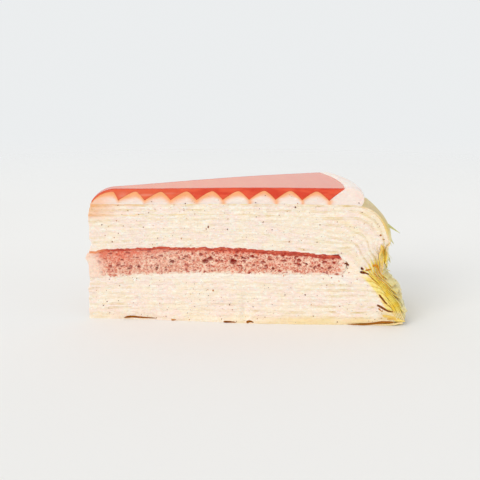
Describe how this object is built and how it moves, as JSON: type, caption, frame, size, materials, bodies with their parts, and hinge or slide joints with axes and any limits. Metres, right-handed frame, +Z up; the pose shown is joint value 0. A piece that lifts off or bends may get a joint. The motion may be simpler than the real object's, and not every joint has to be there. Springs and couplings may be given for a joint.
{
  "type": "crepe cake slice",
  "caption": "Cut slice of crepe cake: thin crepes stacked with cream around a berry sponge with jam, piped cream ridges and clear fruit jelly on top, hanging crepe edges at the rim.",
  "frame": {"origin": "under the middle of the slice's length and width, on the surface it stands on", "axes": "+X from the point of the slice to its round rim, +Z up; the slice is even about the XZ plane"},
  "size_m": [0.1212, 0.0508, 0.0513],
  "materials": {
    "crepe": "thin soft pancake, yellow with faint browning",
    "cream": "soft whipped cream, faintly pink and yellow, with dark vanilla specks",
    "sponge": "crumbly pink berry sponge with dark red pores",
    "jam": "moist red jam soaked into the sponge",
    "topping": "smooth piped cream",
    "jelly": "clear coral red fruit jelly, wet gloss"
  },
  "bodies": {
    "root": {"lower_crepe_1": "crepe", "lower_cream_1": "cream", "lower_crepe_2": "crepe", "lower_cream_2": "cream", "lower_crepe_3": "crepe", "lower_cream_3": "cream", "lower_crepe_4": "crepe", "lower_cream_4": "cream", "lower_crepe_5": "crepe", "lower_cream_5": "cream", "lower_crepe_6": "crepe", "lower_cream_6": "cream", "lower_crepe_7": "crepe", "lower_cream_7": "cream", "lower_crepe_8": "crepe", "lower_cream_8": "cream", "lower_crepe_9": "crepe", "upper_crepe_1": "crepe", "upper_cream_1": "cream", "upper_crepe_2": "crepe", "upper_cream_2": "cream", "upper_crepe_3": "crepe", "upper_cream_3": "cream", "upper_crepe_4": "crepe", "upper_cream_4": "cream", "upper_crepe_5": "crepe", "upper_cream_5": "cream", "upper_crepe_6": "crepe", "upper_cream_6": "cream", "upper_crepe_7": "crepe", "upper_cream_7": "cream", "upper_crepe_8": "crepe", "upper_cream_8": "cream", "upper_crepe_9": "crepe", "sponge": "sponge", "jam": "jam", "sponge_coat": "cream", "topping": "topping", "jelly": "jelly"}
  },
  "joints": []
}
